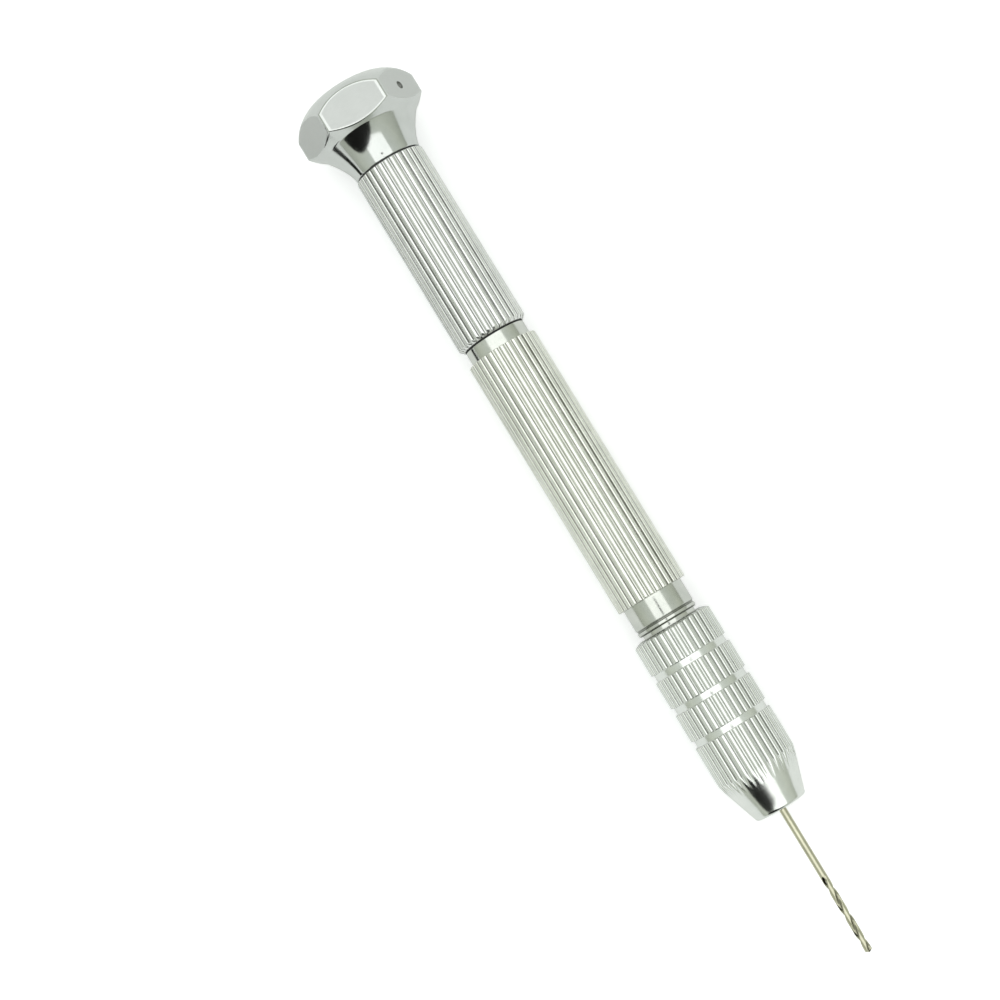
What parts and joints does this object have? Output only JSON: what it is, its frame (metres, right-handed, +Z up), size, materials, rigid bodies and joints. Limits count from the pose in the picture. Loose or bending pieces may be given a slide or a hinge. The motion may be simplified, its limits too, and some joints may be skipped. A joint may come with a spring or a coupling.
{
  "type": "pin vise drill",
  "caption": "Slim hand drill with a swivelling hexagonal palm rest, a knurled hollow handle and a keyless jaw chuck gripping a fine twist drill.",
  "frame": {"origin": "on the tool's axis, at the flat front face of the chuck nose, with the chuck closed on its drill", "axes": "+X along the tool's axis towards the drill's point; +Z up, square to two opposite flats of the palm rest; +Y completes a right-handed frame"},
  "size_m": [0.1194, 0.016, 0.014],
  "materials": {
    "palm_aluminium": "satin on the flats, bright turned on the flare",
    "sleeve_aluminium": "straight knurled, satin, slightly cool",
    "lower_aluminium": "straight knurled, satin, slightly warm",
    "turned_aluminium": "fine turned, bright",
    "nut_aluminium": "knurled bands between turned grooves, polished nose",
    "jaw_steel": "hardened, ground",
    "steel": "plain",
    "drill_steel": "straw-tinted high-speed steel, bright ground flutes",
    "rubber": "matt",
    "black_nylon": "matt"
  },
  "bodies": {
    "barrel": {"lower_sleeve": "lower_aluminium", "joint_collar": "turned_aluminium", "seal_ring": "rubber", "chuck_spindle": "turned_aluminium"},
    "swivel_bearing": {"swivel_washer": "black_nylon", "thrust_ball": "steel"},
    "upper_handle": {"upper_sleeve": "sleeve_aluminium", "end_plug": "steel", "pivot_pin": "steel"},
    "palm_rest": {"palm_head": "palm_aluminium", "retaining_pin": "steel"},
    "nut_ring": {"dust_ring": "steel"},
    "nut": {"chuck_nut": "nut_aluminium"},
    "jaw_a": {"jaw_1": "jaw_steel", "jaw_spring_1": "steel"},
    "jaw_b": {"jaw_2": "jaw_steel", "jaw_spring_2": "steel"},
    "jaw_c": {"jaw_3": "jaw_steel", "jaw_spring_3": "steel"},
    "bit": {"drill_bit": "drill_steel"}
  },
  "joints": [
    {"name": "sleeve_lift", "type": "slide", "parent": "barrel", "child": "swivel_bearing", "axis": [-1, 0, 0], "range_m": [0, 0.0045]},
    {"name": "sleeve_turn", "type": "hinge", "parent": "swivel_bearing", "child": "upper_handle", "pos_m": [-0.08, 0, 0], "axis": [-1, 0, 0], "range_deg": [0, 2165]},
    {"name": "palm_swivel", "type": "hinge", "parent": "swivel_bearing", "child": "palm_rest", "pos_m": [-0.09583, 0, 0], "axis": [1, 0, 0], "continuous": true},
    {"name": "nut_advance", "type": "slide", "parent": "barrel", "child": "nut_ring", "axis": [1, 0, 0], "range_m": [0, 0.0039]},
    {"name": "nut_turn", "type": "hinge", "parent": "nut_ring", "child": "nut", "pos_m": [-0.0125, 0, 0], "axis": [1, 0, 0], "range_deg": [0, 1890]},
    {"name": "jaw_1_slide", "type": "slide", "parent": "barrel", "child": "jaw_a", "axis": [0, 0, 1], "range_m": [0, 0.00114]},
    {"name": "jaw_2_slide", "type": "slide", "parent": "barrel", "child": "jaw_b", "axis": [0, -0.866, -0.5], "range_m": [0, 0.00114]},
    {"name": "jaw_3_slide", "type": "slide", "parent": "barrel", "child": "jaw_c", "axis": [0, 0.866, -0.5], "range_m": [0, 0.00114]},
    {"name": "drill_slide", "type": "slide", "parent": "barrel", "child": "bit", "axis": [1, 0, 0], "range_m": [0, 0.0135]}
  ],
  "couplings": [
    {"joint": "sleeve_turn", "follows": "sleeve_lift", "rad_per_m": 8377.6},
    {"joint": "nut_turn", "follows": "nut_advance", "rad_per_m": 8377.6},
    {"joint": "jaw_1_slide", "follows": "nut_advance", "ratio": 0.28675},
    {"joint": "jaw_2_slide", "follows": "nut_advance", "ratio": 0.28675},
    {"joint": "jaw_3_slide", "follows": "nut_advance", "ratio": 0.28675}
  ]
}
